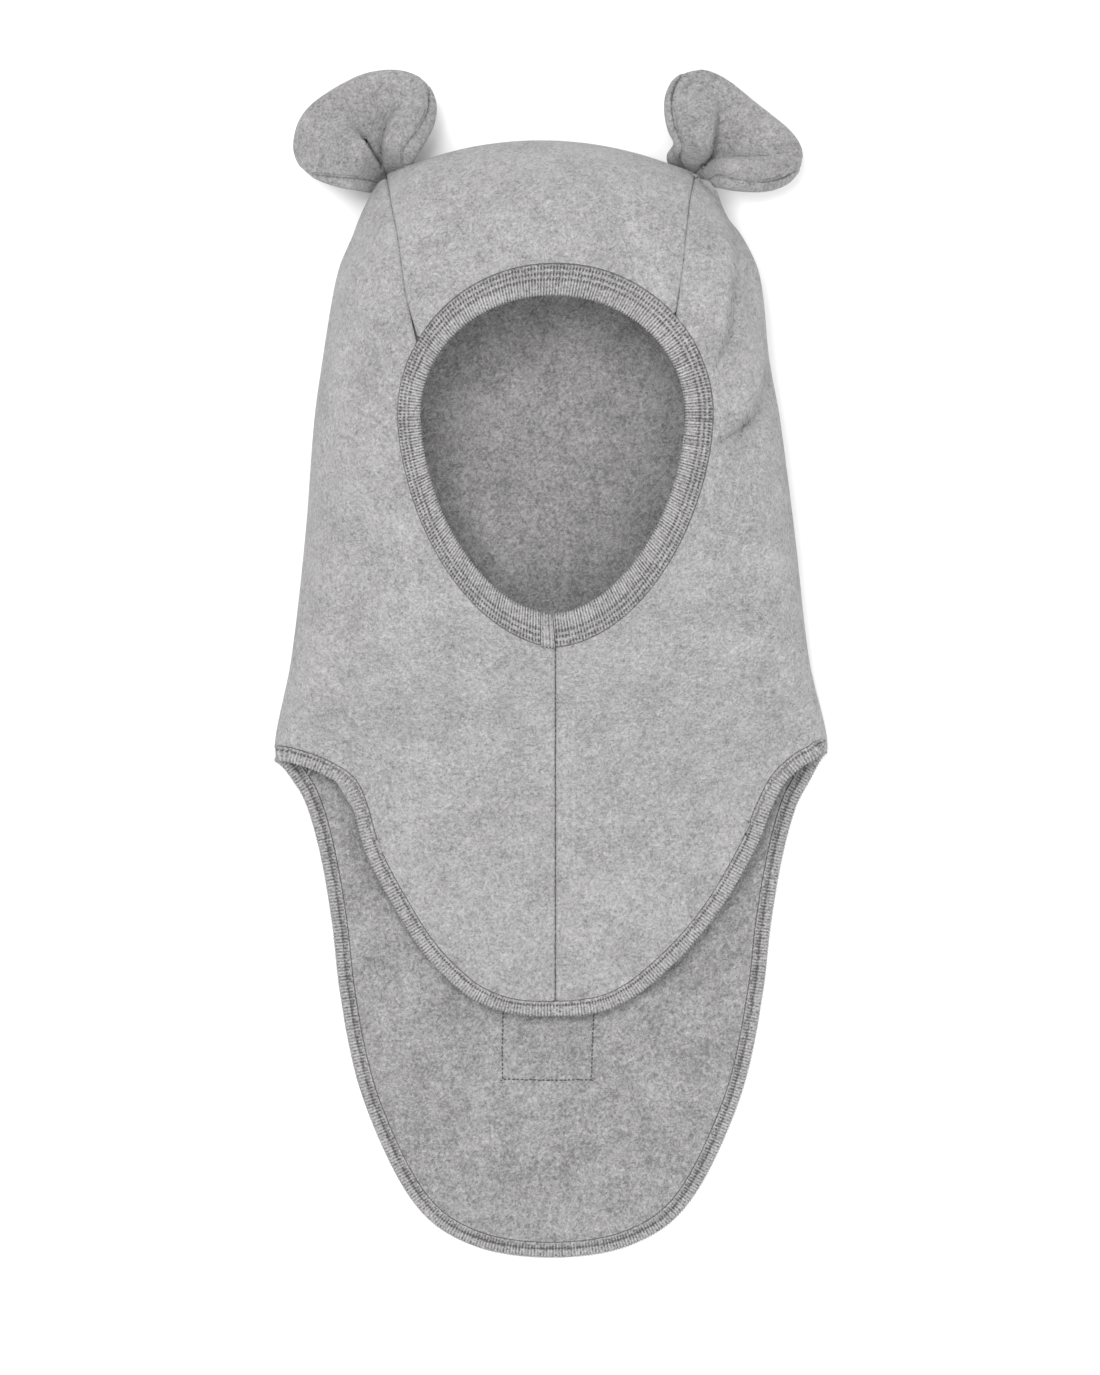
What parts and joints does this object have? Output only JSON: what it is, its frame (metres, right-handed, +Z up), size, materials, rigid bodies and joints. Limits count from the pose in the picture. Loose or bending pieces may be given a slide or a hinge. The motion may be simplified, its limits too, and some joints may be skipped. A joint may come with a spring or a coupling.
{
  "type": "baby balaclava hat with ears",
  "caption": "Baby's fleece balaclava with pinched ears, a ribbed oval face opening, a rounded front bib and a long rounded back flap, lying flat on its back.",
  "frame": {"origin": "on the surface that the hat lies on, under the centre of its bounding box", "axes": "+X to the wearer's left, +Y from the end of the back flap to the crown, +Z up, out of the face opening"},
  "size_m": [0.2312, 0.4976, 0.068],
  "materials": {
    "fleece": "thick brushed wool fleece, mottled light grey, no sheen",
    "ribbing": "fine rib knit in the same mottled grey, matt"
  },
  "bodies": {
    "root": {"centre_panel": "fleece", "back_flap": "fleece", "side_panel_left": "fleece", "side_panel_right": "fleece", "face_band": "ribbing", "face_band_lap": "ribbing", "hem_binding": "ribbing", "ear_left_front": "fleece", "ear_left_back": "fleece", "ear_right_front": "fleece", "ear_right_back": "fleece"}
  },
  "joints": []
}
